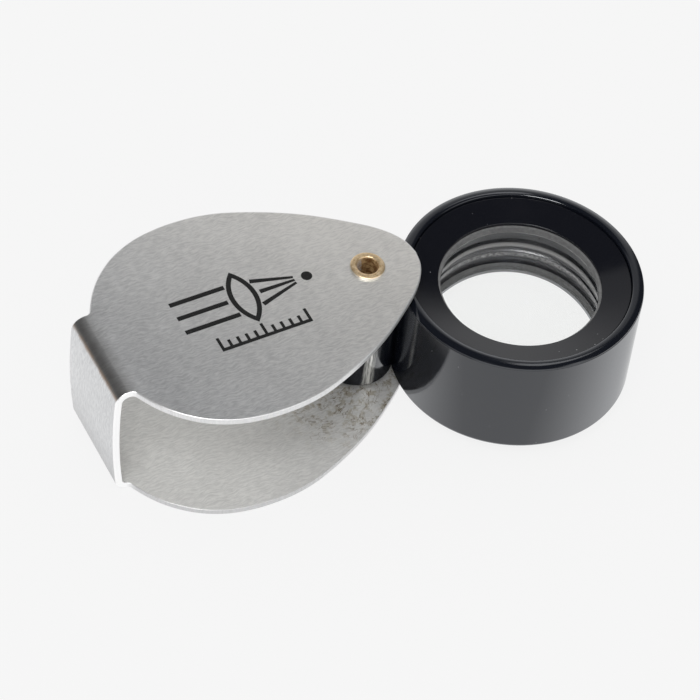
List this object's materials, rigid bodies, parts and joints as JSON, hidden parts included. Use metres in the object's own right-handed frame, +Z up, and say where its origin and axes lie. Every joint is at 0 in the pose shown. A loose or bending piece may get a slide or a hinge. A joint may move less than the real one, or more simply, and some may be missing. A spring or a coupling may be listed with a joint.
{
  "type": "folding pocket magnifier",
  "caption": "Pocket viewing loupe: folded teardrop steel case on a hollow brass rivet, with a black two-lens barrel that swings out to view and back in to protect the glass.",
  "frame": {"origin": "centre of the case's round end, on the outer face of the lower plate", "axes": "+X from the folded back towards the pivot and the plates' tip, +Z up along the pivot axis and the lens axis, +Y completes the right-handed frame"},
  "size_m": [0.06, 0.0329, 0.0164],
  "materials": {
    "case_steel": "satin, fine rolled grain, bright cut edges",
    "rivet_brass": "slightly tarnished, dark bore",
    "washer_fibre": "matte",
    "barrel_black": "moulded gloss black",
    "ring_black": "satin gloss black",
    "lens_glass": "polished, clear",
    "spacer_metal": "turned, grooved inside"
  },
  "bodies": {
    "case": {"folded_case": "case_steel", "pivot_rivet": "rivet_brass", "upper_friction_washer": "washer_fibre", "lower_friction_washer": "washer_fibre"},
    "lens": {"lens_barrel": "barrel_black", "retaining_ring": "ring_black", "upper_lens": "lens_glass", "spacer_ring": "spacer_metal", "lower_lens": "lens_glass"}
  },
  "joints": [
    {"name": "lens_swing", "type": "hinge", "parent": "case", "child": "lens", "pos_m": [0.01865, 0, 0.008], "axis": [0, 0, 1], "continuous": true}
  ]
}
